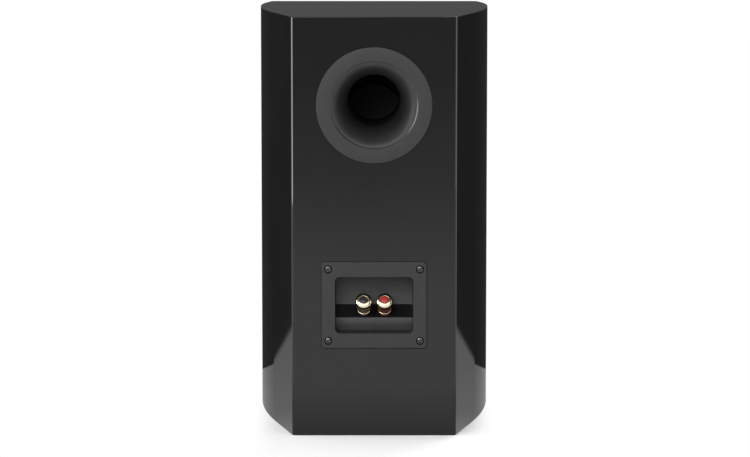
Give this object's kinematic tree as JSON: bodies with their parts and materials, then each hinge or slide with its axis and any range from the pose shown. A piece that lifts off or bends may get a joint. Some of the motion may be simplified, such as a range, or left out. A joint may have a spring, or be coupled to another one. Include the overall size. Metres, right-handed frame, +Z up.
{
  "type": "bookshelf speaker",
  "caption": "Two-way ported bookshelf speaker: curved gloss cabinet, cone woofer and dome tweeter in front, flared port and recessed screw terminals behind.",
  "frame": {"origin": "Middle of the footprint on the surface that the cabinet stands on.", "axes": "+Z up, the front baffle faces -Y, the port and terminals face +Y, +X is to the right seen from the front."},
  "size_m": [0.216, 0.275, 0.38],
  "materials": {
    "lacquer": "gloss",
    "mdf": "matte",
    "molded_black": "satin",
    "foam": "matte",
    "rubber": "matte",
    "cone_metal": "satin",
    "cast_frame": "matte",
    "plated_steel": "satin",
    "ferrite": "matte",
    "gold_plate": "polished",
    "black_screw": "satin",
    "red_insulator": "gloss",
    "black_insulator": "gloss",
    "spider_cloth": "matte",
    "copper_wire": "satin",
    "circuit_board": "satin",
    "film_capacitor": "satin",
    "ceramic": "matte",
    "lead_jacket": "satin"
  },
  "bodies": {
    "cabinet": {"top_panel": "lacquer", "bottom_panel": "lacquer", "side_panel_left": "lacquer", "side_panel_right": "lacquer", "front_baffle": "lacquer", "rear_panel": "lacquer", "shelf_brace": "mdf", "foam_lining": "foam", "port_flare": "molded_black", "port_tube": "molded_black", "port_inner_flare": "molded_black", "terminal_cup": "molded_black", "woofer_trim_ring": "molded_black", "tweeter_waveguide": "molded_black", "tweeter_rear_chamber": "molded_black", "terminal_gasket": "rubber", "woofer_surround": "rubber", "tweeter_surround": "rubber", "terminal_screw_1": "black_screw", "terminal_screw_2": "black_screw", "terminal_screw_3": "black_screw", "terminal_screw_4": "black_screw", "woofer_screw_1": "black_screw", "woofer_screw_2": "black_screw", "woofer_screw_3": "black_screw", "woofer_screw_4": "black_screw", "post_collar_black": "black_insulator", "post_stud_black": "gold_plate", "post_hex_nut_black": "gold_plate", "post_collar_red": "red_insulator", "post_stud_red": "gold_plate", "post_hex_nut_red": "gold_plate", "woofer_basket": "cast_frame", "inductor_woofer": "copper_wire", "inductor_tweeter": "copper_wire", "woofer_spider": "spider_cloth", "woofer_top_plate": "plated_steel", "woofer_pole_yoke": "plated_steel", "tweeter_top_plate": "plated_steel", "tweeter_pole_yoke": "plated_steel", "woofer_magnet": "ferrite", "tweeter_magnet": "ferrite", "crossover_board": "circuit_board", "capacitor_woofer": "film_capacitor", "capacitor_tweeter": "film_capacitor", "resistor": "ceramic", "lead_input": "lead_jacket", "lead_woofer": "lead_jacket", "lead_tweeter": "lead_jacket"},
    "woofer_cone_assembly": {"woofer_cone": "cone_metal", "woofer_dust_cap": "cone_metal", "woofer_voice_coil": "copper_wire"},
    "tweeter_dome_assembly": {"tweeter_dome": "cone_metal", "tweeter_voice_coil": "copper_wire"},
    "black_clamp_ring": {"post_clamp_ring_black": "gold_plate"},
    "black_nut": {"post_nut_black": "gold_plate"},
    "black_plug": {"post_plug_black": "black_insulator"},
    "red_clamp_ring": {"post_clamp_ring_red": "gold_plate"},
    "red_nut": {"post_nut_red": "gold_plate"},
    "red_plug": {"post_plug_red": "red_insulator"}
  },
  "joints": [
    {"name": "woofer_cone_travel", "type": "slide", "parent": "cabinet", "child": "woofer_cone_assembly", "axis": [0, -1, 0], "range_m": [-0.005, 0.005], "stiffness_N_per_m": 1000, "deforming": ["woofer_surround", "woofer_spider"]},
    {"name": "tweeter_dome_travel", "type": "slide", "parent": "cabinet", "child": "tweeter_dome_assembly", "axis": [0, -1, 0], "range_m": [-0.0003, 0.0003], "stiffness_N_per_m": 100, "deforming": ["tweeter_surround"]},
    {"name": "black_clamp_ring_travel", "type": "slide", "parent": "cabinet", "child": "black_clamp_ring", "axis": [0, 0.829, 0.5592], "range_m": [0, 0.004]},
    {"name": "black_nut_turn", "type": "hinge", "parent": "black_clamp_ring", "child": "black_nut", "pos_m": [0.0095, 0.12616, 0.11949], "axis": [0, 0.829, 0.5592], "range_deg": [0, 1440]},
    {"name": "black_plug_pull", "type": "slide", "parent": "cabinet", "child": "black_plug", "axis": [0, 0.829, 0.5592], "range_m": [0, 0.014]},
    {"name": "red_clamp_ring_travel", "type": "slide", "parent": "cabinet", "child": "red_clamp_ring", "axis": [0, 0.829, 0.5592], "range_m": [0, 0.004]},
    {"name": "red_nut_turn", "type": "hinge", "parent": "red_clamp_ring", "child": "red_nut", "pos_m": [-0.0095, 0.12616, 0.11949], "axis": [0, 0.829, 0.5592], "range_deg": [0, 1440]},
    {"name": "red_plug_pull", "type": "slide", "parent": "cabinet", "child": "red_plug", "axis": [0, 0.829, 0.5592], "range_m": [0, 0.014]}
  ],
  "couplings": [
    {"joint": "black_nut_turn", "follows": "black_clamp_ring_travel", "rad_per_m": 6283.2},
    {"joint": "red_nut_turn", "follows": "red_clamp_ring_travel", "rad_per_m": 6283.2}
  ]
}
